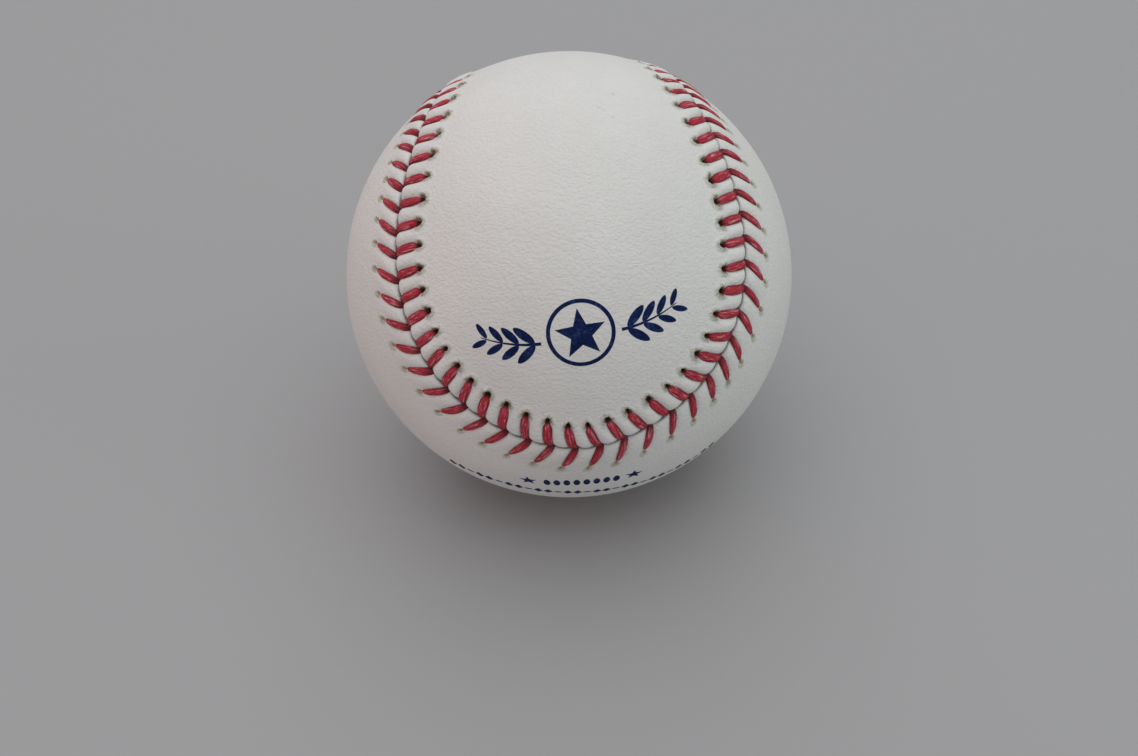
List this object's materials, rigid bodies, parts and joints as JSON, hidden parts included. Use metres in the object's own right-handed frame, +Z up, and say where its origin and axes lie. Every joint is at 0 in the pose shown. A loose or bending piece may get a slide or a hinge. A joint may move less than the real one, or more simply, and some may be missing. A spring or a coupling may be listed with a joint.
{
  "type": "baseball",
  "caption": "Leather-covered ball with a raised red herringbone seam, sewn over yarn windings and a cushioned cork centre.",
  "frame": {"origin": "centre of the ball", "axes": "+Z up as the ball sits in the picture, -Y towards the viewer, where the front lobe of the cover leans up and forward"},
  "size_m": [0.0742, 0.0751, 0.0742],
  "materials": {
    "leather": "smooth, faintly grained",
    "red_thread": "waxed",
    "grey_wool": "wound yarn",
    "white_wool": "wound yarn",
    "cotton": "fine wound yarn",
    "red_rubber": "moulded, matt",
    "black_rubber": "moulded, matt",
    "cork": "pressed cork"
  },
  "bodies": {
    "root": {"cork_core": "cork", "black_rubber_upper": "black_rubber", "black_rubber_lower": "black_rubber", "rubber_washer": "red_rubber", "red_rubber_layer": "red_rubber", "grey_wool_inner": "grey_wool", "white_wool_middle": "white_wool", "grey_wool_outer": "grey_wool", "cotton_finish": "cotton", "cover_front": "leather", "cover_sides": "leather", "red_thread_one": "red_thread", "red_thread_two": "red_thread"}
  },
  "joints": []
}
